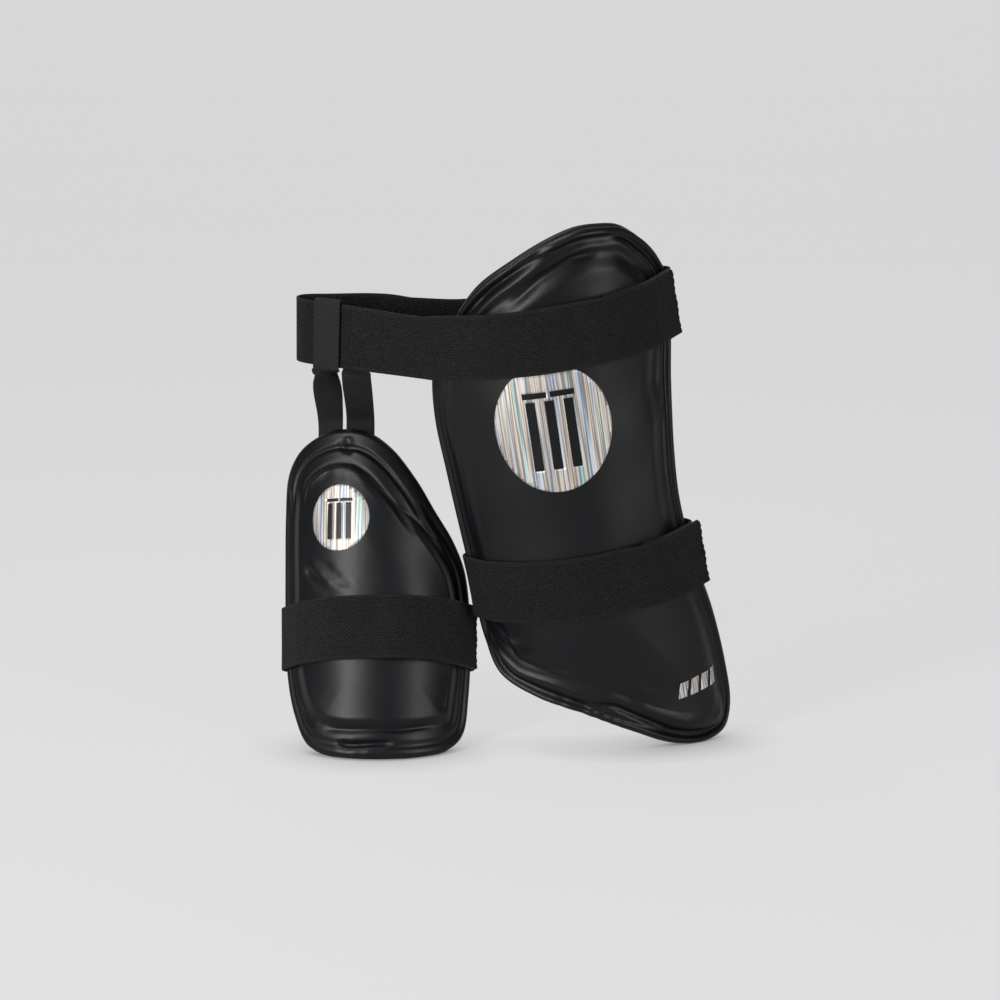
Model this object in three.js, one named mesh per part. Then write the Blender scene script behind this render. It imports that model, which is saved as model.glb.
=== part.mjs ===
// Batter's combination thigh guard: a long outer guard and a shorter inner guard, each a moulded
// cover on a padded lining with an elastic strap, joined by one elastic waist belt and a webbing loop.
// Units are millimetres, +Z is up, the guards' outer faces look along -Y.
import * as THREE from 'three';
import { mergeVertices } from 'three/addons/utils/BufferGeometryUtils.js';

const DEGREE = Math.PI / 180;

// Clearance between pieces that touch, and room left under a strap over a curved face
const seamGap = 0.32;
const seamInset = 1;
const grooveWidth = 1.5;
const strapClearance = 1.7;
const tapeGap = 0.5;

// Elastic of the belt and straps, and the hook tape at its free ends. A strap starts under its free
// end, at a share of the guard's half width across.
const elasticThickness = 2;
const beltWidth = 49;
const beltOverlap = 56;
const hookTapeThickness = 1.2;
const hookTapeLength = 26;
const freeEndLength = 12;
const strapStartShare = 0.3;

// Webbing that hangs the inner guard from the belt
const webbingWidth = 22;
const webbingThickness = 1.6;
const webbingBelow = 7;
const hangerGap = 1;

// The webbing's two legs: the distance across the inner guard where each is sewn to the lining, how
// far each has shifted along the belt at its lower edge, and how far it is twisted at most. A higher
// twistPeak brings the place of most twist nearer to the belt.
const frontLeg = { sewnAcross: -45, shift: -3, twist: 75 };
const rearLeg = { sewnAcross: -16, shift: 20, twist: 40 };
const twistPeak = 2.5;
const hangerFromFold = 15;

// Outlines seen square on, from the top to the left and round. Across is a share of the half width,
// along a share of the length, measured from the foot.
const outerOutline = [
  { across: 0.4, along: 0.992 },
  { across: 0.2, along: 0.997 },
  { across: -0.03, along: 0.986 },
  { across: -0.3, along: 0.96 },
  { across: -0.59, along: 0.918 },
  { across: -0.81, along: 0.847 },
  { across: -0.95, along: 0.77 },
  { across: -0.99, along: 0.68 },
  { across: -0.98, along: 0.573 },
  { across: -0.95, along: 0.4 },
  { across: -0.93, along: 0.26 },
  { across: -0.87, along: 0.19 },
  { across: -0.65, along: 0.146 },
  { across: -0.36, along: 0.112 },
  { across: 0, along: 0.061 },
  { across: 0.28, along: 0.021 },
  { across: 0.54, along: 0 },
  { across: 0.73, along: 0.008 },
  { across: 0.81, along: 0.05 },
  { across: 0.82, along: 0.13 },
  { across: 0.785, along: 0.235 },
  { across: 0.705, along: 0.345 },
  { across: 0.66, along: 0.465 },
  { across: 0.68, along: 0.56 },
  { across: 0.745, along: 0.68 },
  { across: 0.825, along: 0.79 },
  { across: 0.85, along: 0.855 },
  { across: 0.78, along: 0.912 },
  { across: 0.66, along: 0.955 },
  { across: 0.54, along: 0.981 },
];
const innerOutline = [
  { across: -0.4, along: 0.998 },
  { across: -0.62, along: 0.985 },
  { across: -0.85, along: 0.94 },
  { across: -0.96, along: 0.87 },
  { across: -0.985, along: 0.75 },
  { across: -0.985, along: 0.6 },
  { across: -0.975, along: 0.4 },
  { across: -0.94, along: 0.24 },
  { across: -0.86, along: 0.13 },
  { across: -0.72, along: 0.042 },
  { across: -0.4, along: 0.006 },
  { across: 0, along: 0 },
  { across: 0.42, along: 0.004 },
  { across: 0.76, along: 0.032 },
  { across: 0.9, along: 0.085 },
  { across: 0.95, along: 0.2 },
  { across: 0.97, along: 0.34 },
  { across: 0.96, along: 0.46 },
  { across: 0.91, along: 0.58 },
  { across: 0.8, along: 0.665 },
  { across: 0.62, along: 0.75 },
  { across: 0.42, along: 0.845 },
  { across: 0.16, along: 0.935 },
  { across: -0.1, along: 0.984 },
];

// The guards: overall size, radius of the thigh that each is moulded round, thickness of its layers,
// and how it stands. The spine is the middle line that the moulded steps close in on.
const outerGuard = {
  outline: outerOutline,
  halfWidth: 100,
  length: 420,
  thighRadius: 112,
  stations: 80,
  spineTop: { across: 0.06, along: 0.8 },
  spineFoot: { across: 0.02, along: 0.27 },
  rimWidth: 8.5,
  rimRise: 5,
  seamRise: 3.2,
  borderWidth: 6.5,
  borderRise: 4.6,
  panelInset: 21,
  panelShoulder: 10,
  panelRise: 9.5,
  crownRise: 12,
  liningThickness: 9,
  liningMargin: 1.8,
  restDepth: 1.8,
};
const innerGuard = {
  outline: innerOutline,
  halfWidth: 71,
  length: 254,
  thighRadius: 79,
  stations: 64,
  spineTop: { across: -0.1, along: 0.72 },
  spineFoot: { across: 0, along: 0.26 },
  rimWidth: 8.5,
  rimRise: 4.5,
  seamRise: 3,
  borderWidth: 6,
  borderRise: 4,
  panelInset: 18,
  panelShoulder: 8,
  panelRise: 8,
  crownRise: 10,
  liningThickness: 8,
  liningMargin: 1.8,
  restDepth: 1.8,
};

// How the guards stand: the foot's place, the lean to the back, the roll to the left and the turn
const outerStand = { x: 105, y: 0, lean: -6, roll: 10.5, turn: 8 };
const innerStand = { x: -93, y: -38, lean: 20, roll: 0, turn: 0 };

// The straps: height of the middle above the guard's foot, as a share of its length, width, how far
// it dips at the back, and how far its free end laps over its start
const outerStrap = {
  height: 0.36 * outerGuard.length,
  width: 49,
  dip: 0,
  overlap: 42,
};
const innerStrap = {
  height: 0.386 * innerGuard.length,
  width: 48,
  dip: 6,
  overlap: 54,
};
const beltHeight = 0.818 * outerGuard.length;
const webbingSewnHeight = 0.81 * innerGuard.length;

// The belt's free stretch: its reach to the left of the outer guard's edge, its rise on the way,
// the radius of its fold, and where it leaves the guard, as the angle that its face has turned
const beltReach = 80;
const beltRise = 15;
const beltFoldRadius = 9;
const beltFoldDepth = 104;
const beltLeaveAngle = 45;
const beltStepLength = 5.4;
const strapStepLength = 5.6;

const black = (roughness) =>
  new THREE.MeshStandardMaterial({ color: 0x1b1c20, roughness, metalness: 0 });

function closedMesh(name, vertices, triangles, material) {
  const geometry = new THREE.BufferGeometry();
  geometry.setAttribute('position', new THREE.Float32BufferAttribute(vertices.flat(), 3));
  geometry.setIndex(triangles.flat());
  const mesh = new THREE.Mesh(mergeVertices(geometry, 1e-4), material);
  mesh.name = name;
  return mesh;
}

// Guards

// The outline on the unrolled face: u is the distance round the thigh, v the height above the foot
function unrolledOutline(guard) {
  const points = guard.outline.map((row) => new THREE.Vector3(
    guard.thighRadius * Math.asin((row.across * guard.halfWidth) / guard.thighRadius),
    row.along * guard.length,
    0,
  ));
  const curve = new THREE.CatmullRomCurve3(points, true, 'centripetal');
  return curve.getSpacedPoints(guard.stations).slice(0, guard.stations);
}

// Where each station of the outline closes in on the spine. Opposite stations share one point.
function spinePoints(guard, outline) {
  const { stations } = guard;
  const atSpine = (end) => new THREE.Vector3(
    guard.thighRadius * Math.asin((end.across * guard.halfWidth) / guard.thighRadius),
    end.along * guard.length,
    0,
  );
  return outline.map((point, i) => {
    const share = Math.min(i, stations - i) / (stations / 2);
    return atSpine(guard.spineTop).lerp(atSpine(guard.spineFoot), share);
  });
}

// A point of the unrolled face wrapped round the thigh and raised off it along its normal
function wrapped(guard, u, v, rise) {
  const angle = u / guard.thighRadius;
  const reach = guard.thighRadius + rise;
  return [reach * Math.sin(angle), guard.thighRadius - reach * Math.cos(angle), v];
}

// One layer of a guard. Its rows run from the spine of the face to the edge and back along the
// inside: inset is the distance in from the outline, reach the share of what is left to the spine.
function layer(name, guard, rows, toFloor, material) {
  const outline = unrolledOutline(guard);
  const spine = spinePoints(guard, outline);
  const { stations } = guard;
  const vertices = [];
  for (const row of rows) {
    for (let i = 0; i < stations; i += 1) {
      const way = spine[i].clone().sub(outline[i]);
      const distance = row.inset + row.reach * (way.length() - row.inset);
      const point = outline[i].clone().addScaledVector(way.normalize(), distance);
      vertices.push(toFloor(wrapped(guard, point.x, point.y, row.rise)));
    }
  }
  const triangles = [];
  const depth = (row) => row.inset + row.reach * guard.halfWidth;
  for (let j = 0; j < rows.length - 1; j += 1) {
    const inward = depth(rows[j]) < depth(rows[j + 1]);
    for (let i = 0; i < stations; i += 1) {
      const next = (i + 1) % stations;
      const a = j * stations + i;
      const b = j * stations + next;
      const c = (j + 1) * stations + next;
      const d = (j + 1) * stations + i;
      if (inward) triangles.push([a, c, b], [a, d, c]);
      else triangles.push([a, d, b], [b, d, c]);
    }
  }
  return closedMesh(name, vertices, triangles, material);
}

// Rows where the cover and the lining meet, from the seam in to the spine
function matingRows(guard, rise) {
  return [
    { inset: guard.liningMargin + seamInset, reach: 0, rise },
    { inset: guard.rimWidth + grooveWidth, reach: 0, rise },
    { inset: guard.panelInset + guard.panelShoulder, reach: 0, rise },
    { inset: guard.panelInset + guard.panelShoulder, reach: 0.4, rise },
    { inset: guard.panelInset + guard.panelShoulder, reach: 1, rise },
  ];
}

function coverRows(guard) {
  const edge = guard.liningMargin;
  const border = guard.rimWidth + guard.borderWidth;
  const shoulder = guard.panelInset + guard.panelShoulder;
  const face = [
    { inset: shoulder, reach: 1, rise: guard.crownRise },
    { inset: shoulder, reach: 0.6, rise: 0.8 * guard.crownRise + 0.2 * guard.panelRise },
    { inset: shoulder, reach: 0.25, rise: 0.4 * guard.crownRise + 0.6 * guard.panelRise },
    { inset: shoulder, reach: 0, rise: guard.panelRise },
    { inset: guard.panelInset + 0.4 * guard.panelShoulder, reach: 0,
      rise: 0.75 * guard.panelRise + 0.25 * guard.seamRise },
    { inset: guard.panelInset, reach: 0, rise: 0.25 * guard.panelRise + 0.75 * guard.seamRise },
    { inset: border + grooveWidth, reach: 0, rise: guard.seamRise },
    { inset: border - 0.35 * guard.borderWidth, reach: 0, rise: guard.borderRise },
    { inset: guard.rimWidth, reach: 0, rise: guard.seamRise },
    { inset: 0.65 * guard.rimWidth, reach: 0, rise: guard.rimRise },
    { inset: edge + 0.16 * guard.rimWidth, reach: 0, rise: 0.86 * guard.rimRise },
    { inset: edge, reach: 0, rise: 0.45 * guard.rimRise },
  ];
  return [...face, ...matingRows(guard, seamGap / 2)];
}

function liningRows(guard) {
  const deep = -guard.liningThickness;
  return [
    ...matingRows(guard, -seamGap / 2).reverse(),
    { inset: 0.35 * guard.liningMargin, reach: 0, rise: 0.12 * deep },
    { inset: 0, reach: 0, rise: 0.4 * deep },
    { inset: 0.8 * guard.liningMargin, reach: 0, rise: 0.78 * deep },
    { inset: guard.rimWidth, reach: 0, rise: deep },
    { inset: guard.panelInset, reach: 0, rise: 0.9 * deep },
    { inset: guard.panelInset + guard.panelShoulder, reach: 0.35, rise: deep },
    { inset: guard.panelInset + guard.panelShoulder, reach: 1, rise: deep },
  ];
}

function standGroup(guard, stand) {
  const group = new THREE.Group();
  group.rotation.set(-stand.lean * DEGREE, -stand.roll * DEGREE, stand.turn * DEGREE, 'ZXY');
  group.position.set(stand.x, stand.y, 0);
  group.updateMatrix();
  return group;
}

// Presses what lies below the floor flat against it, in the guard's own frame
function floorPress(guard, group) {
  const toGuard = group.matrix.clone().invert();
  return (point) => {
    const placed = new THREE.Vector3(...point).applyMatrix4(group.matrix);
    if (placed.z >= 0) return point;
    placed.z = 0;
    return placed.applyMatrix4(toGuard).toArray();
  };
}

// The guard's lowest point set just under the floor, so that its soft foot rests on a flat patch
function seatGuard(guard, group) {
  const whole = [
    layer('cover', guard, coverRows(guard), (point) => point, null),
    layer('lining', guard, liningRows(guard), (point) => point, null),
  ];
  const box = new THREE.Box3();
  const point = new THREE.Vector3();
  for (const mesh of whole) {
    const { position } = mesh.geometry.attributes;
    for (let i = 0; i < position.count; i += 1) {
      box.expandByPoint(point.fromBufferAttribute(position, i).applyMatrix4(group.matrix));
    }
  }
  group.position.z = -box.min.z - guard.restDepth;
  group.updateMatrix();
}

// Straps

// Where a closed mesh crosses a level plane, seen from above
function crossing(meshes, height) {
  const found = [];
  for (const { geometry } of meshes) {
    const { position } = geometry.attributes;
    const corner = (k) => new THREE.Vector3().fromBufferAttribute(position, geometry.index.getX(k));
    for (let k = 0; k < geometry.index.count; k += 3) {
      const corners = [corner(k), corner(k + 1), corner(k + 2)];
      for (let e = 0; e < 3; e += 1) {
        const from = corners[e];
        const to = corners[(e + 1) % 3];
        if ((from.z - height) * (to.z - height) < 0) {
          const share = (height - from.z) / (to.z - from.z);
          found.push(new THREE.Vector2(from.x, from.y).lerp(new THREE.Vector2(to.x, to.y), share));
        }
      }
    }
  }
  return found;
}

// The tight line round points in a plane, counterclockwise from above
function tightLine(points) {
  const sorted = [...points].sort((a, b) => a.x - b.x || a.y - b.y);
  const turn = (o, a, b) => (a.x - o.x) * (b.y - o.y) - (a.y - o.y) * (b.x - o.x);
  const chain = (list) => {
    const line = [];
    for (const point of list) {
      while (line.length > 1 && turn(line.at(-2), line.at(-1), point) <= 0) line.pop();
      line.push(point);
    }
    return line.slice(0, -1);
  };
  return [...chain(sorted), ...chain(sorted.reverse())];
}

// A tight line moved out by a distance, with its corners rounded
function widened(line, distance) {
  const ring = [];
  const sides = 16;
  for (const point of line) {
    for (let k = 0; k < sides; k += 1) {
      const angle = (2 * Math.PI * k) / sides;
      ring.push(new THREE.Vector2(Math.cos(angle), Math.sin(angle)).multiplyScalar(distance).add(point));
    }
  }
  return tightLine(ring);
}

// Points along an open line at equal steps
function spaced(line, steps) {
  const lengths = [0];
  for (let i = 1; i < line.length; i += 1) {
    lengths.push(lengths[i - 1] + line[i].distanceTo(line[i - 1]));
  }
  const total = lengths.at(-1);
  const points = [];
  let i = 1;
  for (let k = 0; k <= steps; k += 1) {
    const at = (total * k) / steps;
    while (i < line.length - 1 && lengths[i] < at) i += 1;
    const share = (at - lengths[i - 1]) / (lengths[i] - lengths[i - 1]);
    points.push(line[i - 1].clone().lerp(line[i], share));
  }
  return points;
}

function normalAt(points, i) {
  const before = points[Math.max(i - 1, 0)];
  const after = points[Math.min(i + 1, points.length - 1)];
  const along = after.clone().sub(before).normalize();
  return new THREE.Vector2(along.y, -along.x);
}

const smoothStep = (share) => {
  const held = Math.min(Math.max(share, 0), 1);
  return held * held * (3 - 2 * held);
};

// Reorders a closed line so that it starts on the front face at a given distance across
function startedAt(line, across) {
  const front = line.findIndex((point, i) => {
    const next = line[(i + 1) % line.length];
    return point.x <= across && next.x > across && next.x > point.x;
  });
  const turned = [...line.slice(front + 1), ...line.slice(0, front + 1)];
  const from = line[front];
  const to = line[(front + 1) % line.length];
  const start = from.clone().lerp(to, (across - from.x) / (to.x - from.x));
  return [start, ...turned, start.clone()];
}

// A strap's inner line: from under its own free end round the guard and over its start again
function strapLine(loop, plan) {
  const round = spaced(startedAt(loop, plan.startAcross), plan.steps);
  const lap = Math.round(plan.steps * (plan.overlap / plan.girth));
  const lift = elasticThickness + hookTapeThickness + 2 * tapeGap;
  const line = [...round, ...round.slice(1, lap + 1)];
  const rampFrom = plan.steps - lap / 2;
  const points = line.map((point, i) => {
    const raised = lift * smoothStep((i - rampFrom) / (plan.steps - 2 - rampFrom));
    return point.clone().addScaledVector(normalAt(line, i), raised);
  });
  const leaving = points.at(-1).clone().sub(points.at(-2)).normalize();
  points.push(points.at(-1).clone().addScaledVector(leaving, freeEndLength));
  return points;
}

// A closed band through four-cornered sections: lower inner, lower outer, upper inner, upper outer.
// The diagonals of its two faces run the same way, so a twisted band keeps its thickness.
function sectionBand(name, vertices, material) {
  const length = vertices.length / 4;
  const triangles = [];
  const sides = [[0, 1], [1, 3], [3, 2], [2, 0]];
  for (let i = 0; i < length - 1; i += 1) {
    for (const [from, to] of sides) {
      const a = 4 * i;
      const b = a + 4;
      if (from < to) triangles.push([a + from, b + to, a + to], [a + from, b + from, b + to]);
      else triangles.push([b + from, b + to, a + to], [a + from, b + from, a + to]);
    }
  }
  const last = 4 * (length - 1);
  triangles.push([0, 1, 3], [0, 3, 2], [last, last + 3, last + 1], [last, last + 2, last + 3]);
  return closedMesh(name, vertices, triangles, material);
}

// A band between two lines of equal count, one for each edge of the strap
function band(name, lines, place, thickness, material) {
  const vertices = [];
  for (let i = 0; i < lines[0].length; i += 1) {
    for (const [edge, line] of lines.entries()) {
      const normal = normalAt(line, i);
      vertices.push(place(line[i], edge));
      vertices.push(place(line[i].clone().addScaledVector(normal, thickness), edge));
    }
  }
  return sectionBand(name, vertices, material);
}

// The guard's own tight lines for the two edges of a strap, each clear of its half of the width
function strapLoops(meshes, height, width) {
  const slices = 5;
  return [-1, 1].map((side) => {
    const points = [];
    for (let k = 0; k < slices; k += 1) {
      points.push(...crossing(meshes, height + (side * width * k) / (2 * (slices - 1))));
    }
    return widened(tightLine(points), strapClearance);
  });
}

// The strap and the hook tape behind its free end
function strapAndTape(name, loops, plan, place) {
  const lines = loops.map((loop) => strapLine(loop, plan));
  const strap = band(name, lines, place, elasticThickness, black(0.9));
  const tapeSteps = Math.max(2, Math.round((hookTapeLength / plan.girth) * plan.steps));
  const tapeLines = lines.map((line) => line.map((point, i) => point.clone().addScaledVector(
    normalAt(line, i),
    -hookTapeThickness - tapeGap,
  )).slice(-tapeSteps - 2));
  const tape = band(plan.tapeName, tapeLines, place, hookTapeThickness, black(1));
  return [strap, tape];
}

const girthOf = (loop) => loop.reduce(
  (sum, point, i) => sum + point.distanceTo(loop[(i + 1) % loop.length]),
  0,
);

function thighStrap(name, tapeName, meshes, guard, { height, width, dip, overlap }) {
  const loops = strapLoops(meshes, height, width);
  const girth = girthOf(loops[0]);
  const plan = {
    tapeName,
    girth,
    overlap,
    steps: Math.round(girth / strapStepLength),
    startAcross: strapStartShare * guard.halfWidth,
  };
  const place = (point, edge) => [
    point.x,
    point.y,
    height + (edge - 0.5) * width - (dip * point.y) / guard.thighRadius,
  ];
  return strapAndTape(name, loops, plan, place);
}

// The belt runs on past the outer guard's left edge to a fold and comes back behind the guard
function beltLoop(loop, guard) {
  const start = strapStartShare * guard.halfWidth;
  const foldMiddle = new THREE.Vector2(-guard.halfWidth - beltReach, beltFoldDepth);
  const onFold = (point) => point.distanceTo(foldMiddle) < beltFoldRadius + seamGap;
  const behind = startedAt(tightLine([...loop, ...widened([foldMiddle], beltFoldRadius)]), start);
  const onGuard = startedAt(loop, start);
  const faceAngle = (point, i) => {
    const next = onGuard[Math.min(i + 1, onGuard.length - 1)];
    return Math.atan2(point.y - next.y, next.x - point.x) / DEGREE;
  };
  const leaves = onGuard.findLastIndex((point, i) => faceAngle(point, i) > beltLeaveAngle) + 1;
  return [
    ...behind.slice(0, behind.findLastIndex(onFold) + 1),
    ...onGuard.slice(leaves, -1),
  ];
}

// The belt stands square to the outer guard on it and upright at its fold
function waistBelt(name, tapeName, meshes, guard, stand) {
  const loops = strapLoops(meshes, beltHeight, beltWidth).map((loop) => beltLoop(loop, guard));
  const girth = girthOf(loops[0]);
  const plan = {
    tapeName,
    girth,
    overlap: beltOverlap,
    steps: Math.round(girth / beltStepLength),
    startAcross: strapStartShare * guard.halfWidth,
  };
  const place = (point, edge) => {
    const share = Math.max(0, (-guard.halfWidth - point.x) / beltReach);
    const tilt = Math.min(share, 1) * stand.roll * DEGREE;
    const off = (edge - 0.5) * beltWidth;
    return [
      point.x + off * Math.sin(tilt),
      point.y,
      beltHeight + off * Math.cos(tilt) + beltRise * share,
    ];
  };
  const [low, high] = loops.map((loop, edge) => {
    const at = loop.findLastIndex((point) => point.x < -guard.halfWidth - beltReach + hangerFromFold
      && point.y < beltFoldDepth);
    const from = loop[at];
    const to = loop[at + 1];
    const share = (-guard.halfWidth - beltReach + hangerFromFold - from.x) / (to.x - from.x);
    const middle = from.clone().lerp(to, share);
    const level = to.clone().sub(from).normalize();
    middle.addScaledVector(new THREE.Vector2(level.y, -level.x), elasticThickness / 2);
    const [start, end] = [from, to].map((point) => new THREE.Vector3(...place(point, edge)));
    return { point: new THREE.Vector3(...place(middle, edge)), along: end.sub(start).normalize() };
  });
  const along = low.along.clone().add(high.along).normalize();
  return { meshes: strapAndTape(name, loops, plan, place), low: low.point, high: high.point, along };
}

// Half of the webbing loop, from its sewn end on the lining up to the belt's top edge
function webbingLeg(leg, face, belt, sewnTo) {
  const rise = -innerGuard.liningThickness - seamGap - webbingThickness / 2;
  const insideRadius = innerGuard.thighRadius - innerGuard.liningThickness;
  const sewnHollow = (0.5 * webbingWidth) ** 2 / (2 * insideRadius) + 0.5 * seamGap;
  const sewn = (height, out) => new THREE.Vector3(
    ...wrapped(innerGuard, leg.sewnAcross, height, rise - out),
  ).applyMatrix4(sewnTo.matrix);
  const up = belt.high.clone().sub(belt.low).normalize();
  const off = elasticThickness / 2 + hangerGap + webbingThickness / 2;
  const atBelt = (point, shift, below) => point.clone().addScaledVector(face, off)
    .addScaledVector(belt.along, shift).addScaledVector(up, -below);
  const free = new THREE.CatmullRomCurve3([
    sewn(innerGuard.length - innerGuard.rimWidth, sewnHollow),
    sewn(innerGuard.length + innerGuard.rimWidth, sewnHollow),
    atBelt(belt.low, leg.shift, webbingBelow),
    atBelt(belt.low, leg.shift, 0),
  ], false, 'centripetal').getPoints(16);
  const middles = [
    sewn(webbingSewnHeight, sewnHollow),
    sewn((webbingSewnHeight + innerGuard.length - innerGuard.rimWidth) / 2, sewnHollow),
    ...free,
    atBelt(belt.low.clone().lerp(belt.high, 0.5), leg.shift / 2, 0),
    atBelt(belt.high, 0, 0),
  ];
  const faceTurn = leg.sewnAcross / innerGuard.thighRadius;
  const onLining = new THREE.Vector3(Math.cos(faceTurn), Math.sin(faceTurn), 0)
    .transformDirection(sewnTo.matrix);
  const sewnRows = 3;
  const beltRows = 4;
  const upright = middles.length - beltRows - sewnRows;
  return middles.map((middle, i) => {
    const share = Math.min(Math.max((i - sewnRows) / upright, 0), 1);
    const twist = leg.twist * Math.sin(Math.PI * share ** twistPeak) ** 2 * DEGREE;
    const width = onLining.clone().lerp(belt.along, smoothStep(share)).normalize();
    return { middle, width: width.applyAxisAngle(new THREE.Vector3(0, 0, 1), twist) };
  });
}

// The webbing loop: up in front of the belt's front stretch, over it and down behind it
function hangerLoop(name, belt, sewnTo) {
  const up = belt.high.clone().sub(belt.low).normalize();
  const face = belt.along.clone().cross(up).normalize();
  const behind = face.clone().negate();
  const off = elasticThickness / 2 + hangerGap + webbingThickness / 2;
  const bends = 6;
  const top = Array.from({ length: bends - 1 }, (unused, k) => {
    const angle = (Math.PI * (k + 1)) / bends;
    const middle = belt.high.clone().addScaledVector(face, off * Math.cos(angle))
      .addScaledVector(up, off * Math.sin(angle));
    return { middle, width: belt.along.clone() };
  });
  const sections = [
    ...webbingLeg(frontLeg, face, belt, sewnTo),
    ...top,
    ...webbingLeg(rearLeg, behind, belt, sewnTo).reverse(),
  ];
  const vertices = [];
  sections.forEach(({ middle, width }, i) => {
    const before = sections[Math.max(i - 1, 0)].middle;
    const after = sections[Math.min(i + 1, sections.length - 1)].middle;
    const out = after.clone().sub(before).cross(width).normalize();
    for (const side of [-0.5, 0.5]) {
      for (const depth of [-0.5, 0.5]) {
        vertices.push(middle.clone().addScaledVector(width, side * webbingWidth)
          .addScaledVector(out, depth * webbingThickness).toArray());
      }
    }
  });
  return sectionBand(name, vertices, black(0.95));
}

const guards = [
  { name: 'outer', guard: outerGuard, stand: outerStand },
  { name: 'inner', guard: innerGuard, stand: innerStand },
].map(({ name, guard, stand }) => {
  const group = standGroup(guard, stand);
  seatGuard(guard, group);
  const press = floorPress(guard, group);
  const cover = layer(`${name}_guard_cover`, guard, coverRows(guard), press, black(0.5));
  const lining = layer(`${name}_guard_lining`, guard, liningRows(guard), press, black(0.7));
  group.add(cover, lining);
  return { group, layers: [cover, lining] };
});
const [outer, inner] = guards;

outer.group.add(...thighStrap(
  'outer_thigh_strap', 'outer_strap_hook_tape', outer.layers, outerGuard, outerStrap,
));
inner.group.add(...thighStrap(
  'inner_thigh_strap', 'inner_strap_hook_tape', inner.layers, innerGuard, innerStrap,
));

const belt = waistBelt(
  'waist_belt', 'waist_belt_hook_tape', outer.layers, outerGuard, outerStand,
);
outer.group.add(...belt.meshes);

const hung = {
  low: belt.low.clone().applyMatrix4(outer.group.matrix),
  high: belt.high.clone().applyMatrix4(outer.group.matrix),
  along: belt.along.clone().transformDirection(outer.group.matrix),
};
const thighGuard = new THREE.Group();
thighGuard.add(outer.group, inner.group, hangerLoop('hanger_loop', hung, inner.group));

// The origin is the middle of the floor that the whole guard covers
const extent = new THREE.Box3().setFromObject(thighGuard, true);
const middle = extent.getCenter(new THREE.Vector3());
thighGuard.position.set(-middle.x, -middle.y, -extent.min.z);

export default thighGuard;
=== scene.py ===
import math
import bmesh
import bpy
import numpy as np
from mathutils import Matrix, Vector


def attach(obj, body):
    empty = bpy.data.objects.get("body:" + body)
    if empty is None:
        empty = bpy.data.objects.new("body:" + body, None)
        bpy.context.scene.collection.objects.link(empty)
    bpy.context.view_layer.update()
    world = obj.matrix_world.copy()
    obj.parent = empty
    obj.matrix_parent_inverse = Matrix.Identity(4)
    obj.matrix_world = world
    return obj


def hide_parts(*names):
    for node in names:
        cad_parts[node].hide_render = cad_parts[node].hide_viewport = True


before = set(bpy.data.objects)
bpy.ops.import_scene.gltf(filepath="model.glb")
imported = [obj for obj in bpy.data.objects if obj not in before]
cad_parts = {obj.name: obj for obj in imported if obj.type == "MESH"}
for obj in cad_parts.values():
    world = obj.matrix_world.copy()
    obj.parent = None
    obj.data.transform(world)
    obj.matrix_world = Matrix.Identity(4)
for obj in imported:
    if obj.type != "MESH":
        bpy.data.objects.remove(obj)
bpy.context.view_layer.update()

# Guard covers. Each is black polyurethane leather, heat moulded over foam into a rolled rim, a
# stitch groove, a low ridge and a raised panel, then sewn to its lining round the edge. The outer
# guard wraps the front thigh and the smaller inner guard the inside of the other one.

OUTER_OUTLINE = (
    (0.4, 0.992), (0.2, 0.997), (-0.03, 0.986), (-0.3, 0.96), (-0.59, 0.918), (-0.81, 0.847),
    (-0.95, 0.77), (-0.99, 0.68), (-0.98, 0.573), (-0.95, 0.4), (-0.93, 0.26), (-0.87, 0.19),
    (-0.65, 0.146), (-0.36, 0.112), (0, 0.061), (0.28, 0.021), (0.54, 0), (0.73, 0.008),
    (0.81, 0.05), (0.82, 0.13), (0.785, 0.235), (0.705, 0.345), (0.66, 0.465), (0.68, 0.56),
    (0.745, 0.68), (0.825, 0.79), (0.85, 0.855), (0.78, 0.912), (0.66, 0.955), (0.54, 0.981),
)
INNER_OUTLINE = (
    (-0.4, 0.998), (-0.62, 0.985), (-0.85, 0.94), (-0.96, 0.87), (-0.985, 0.75), (-0.985, 0.6),
    (-0.975, 0.4), (-0.94, 0.24), (-0.86, 0.13), (-0.72, 0.042), (-0.4, 0.006), (0, 0),
    (0.42, 0.004), (0.76, 0.032), (0.9, 0.085), (0.95, 0.2), (0.97, 0.34), (0.96, 0.46),
    (0.91, 0.58), (0.8, 0.665), (0.62, 0.75), (0.42, 0.845), (0.16, 0.935), (-0.1, 0.984),
)


def standing(x, y, z, lean, roll, turn):
    """Where a guard's own frame stands on the floor."""
    spun = Matrix.Rotation(math.radians(turn), 4, "Z")
    leant = Matrix.Rotation(math.radians(-lean), 4, "X")
    rolled = Matrix.Rotation(math.radians(-roll), 4, "Y")
    return Matrix.Translation((x, y, z)) @ spun @ leant @ rolled


def smooth_loop(points, count):
    """Evenly spaced points on a smooth closed curve through the given ones."""
    fine = []
    total = len(points)
    for i in range(total):
        a, b, c, d = (points[(i + k) % total] for k in (-1, 0, 1, 2))
        ab = np.linalg.norm(b - a) ** 0.5
        bc = np.linalg.norm(c - b) ** 0.5
        cd = np.linalg.norm(d - c) ** 0.5
        leaving = bc * ((b - a) / ab - (c - a) / (ab + bc) + (c - b) / bc)
        arriving = bc * ((c - b) / bc - (d - b) / (bc + cd) + (d - c) / cd)
        for t in np.linspace(0, 1, 16, endpoint=False):
            start = 2 * t ** 3 - 3 * t ** 2 + 1
            end = 3 * t ** 2 - 2 * t ** 3
            fine.append(start * b + end * c + (t ** 3 - 2 * t ** 2 + t) * leaving
                        + (t ** 3 - t ** 2) * arriving)
    return evenly(np.array(fine + fine[:1]), count + 1)[:-1]


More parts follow.
